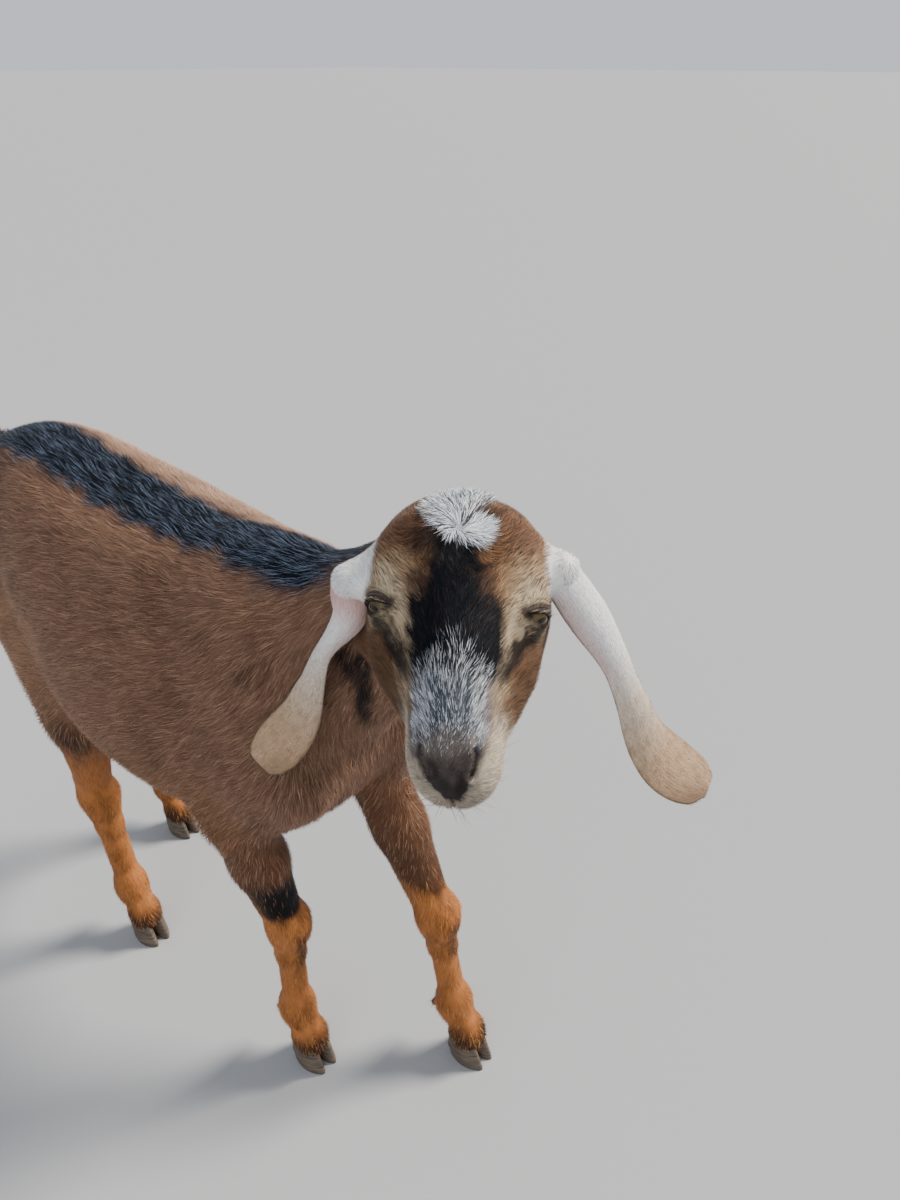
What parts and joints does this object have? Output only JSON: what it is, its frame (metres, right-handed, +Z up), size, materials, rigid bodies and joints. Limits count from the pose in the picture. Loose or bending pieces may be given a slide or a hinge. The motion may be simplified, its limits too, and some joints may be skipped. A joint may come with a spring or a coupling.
{
  "type": "standing young goat figure",
  "caption": "Life-size young lop-eared goat standing on four cloven feet, left foreleg forward, head turned to its right, short hanging tail.",
  "frame": {"origin": "centre of the bounding box in plan, at the level of the soles", "axes": "+X forward along the trunk, +Y to the goat's left, +Z up"},
  "size_m": [0.7254, 0.2126, 0.5643],
  "materials": {
    "brown_coat": "short glossy brown hair over skin",
    "tan_coat": "short orange-tan hair over skin",
    "pale_ear": "thin ear with very short pale hair",
    "hoof_horn": "dark horn",
    "amber_eye": "wet, smooth"
  },
  "bodies": {
    "root": {"torso": "brown_coat", "neck": "brown_coat", "head": "brown_coat", "tail": "brown_coat", "ear_left": "pale_ear", "ear_right": "pale_ear", "eye_left": "amber_eye", "eye_right": "amber_eye", "leg_fore_left": "tan_coat", "leg_fore_right": "tan_coat", "leg_hind_left": "tan_coat", "leg_hind_right": "tan_coat", "hoof_fore_left": "hoof_horn", "hoof_fore_right": "hoof_horn", "hoof_hind_left": "hoof_horn", "hoof_hind_right": "hoof_horn"}
  },
  "joints": []
}
